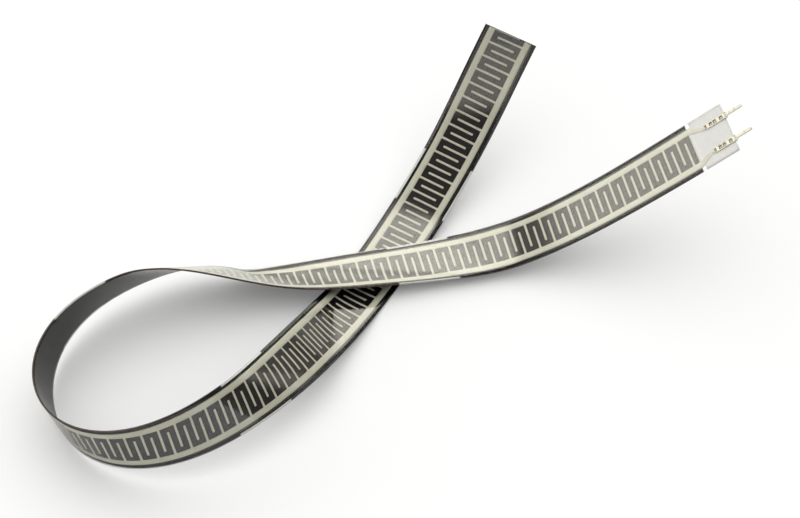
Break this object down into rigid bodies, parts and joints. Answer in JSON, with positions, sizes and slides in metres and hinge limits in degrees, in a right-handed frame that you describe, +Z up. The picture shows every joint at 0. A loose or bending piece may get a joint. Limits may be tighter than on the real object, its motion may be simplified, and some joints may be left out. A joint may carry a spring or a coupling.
{
  "type": "force sensing resistor strip",
  "caption": "Long thin force sensing strip with interleaved silver fingers over black carbon and a pinned clear tail, lying as a loop that crosses itself.",
  "frame": {"origin": "centre of the bounding box at the surface that the strip lies on", "axes": "+Z up from the table, +X towards the tail's side of the loop, +Y towards the cut end"},
  "size_m": [0.1829, 0.1294, 0.0454],
  "materials": {
    "clear_film": "clear glossy polyester film",
    "silver_ink": "silver-loaded print seen through clear film",
    "spacer": "clear adhesive",
    "carbon_ink": "matt black carbon print",
    "rear_film": "smooth polyester film that looks black from the print behind it",
    "mounting_adhesive": "satin dark pressure-sensitive adhesive",
    "milky_film": "milky polyester film",
    "tinned_metal": "bright tin plating"
  },
  "bodies": {
    "root": {"front_film": "clear_film", "silver_comb_left": "silver_ink", "silver_comb_right": "silver_ink", "spacer_adhesive": "spacer", "carbon_layer": "carbon_ink", "rear_film": "rear_film", "mounting_adhesive": "mounting_adhesive", "tail_backing": "milky_film", "contact_left": "tinned_metal", "contact_right": "tinned_metal"}
  },
  "joints": []
}
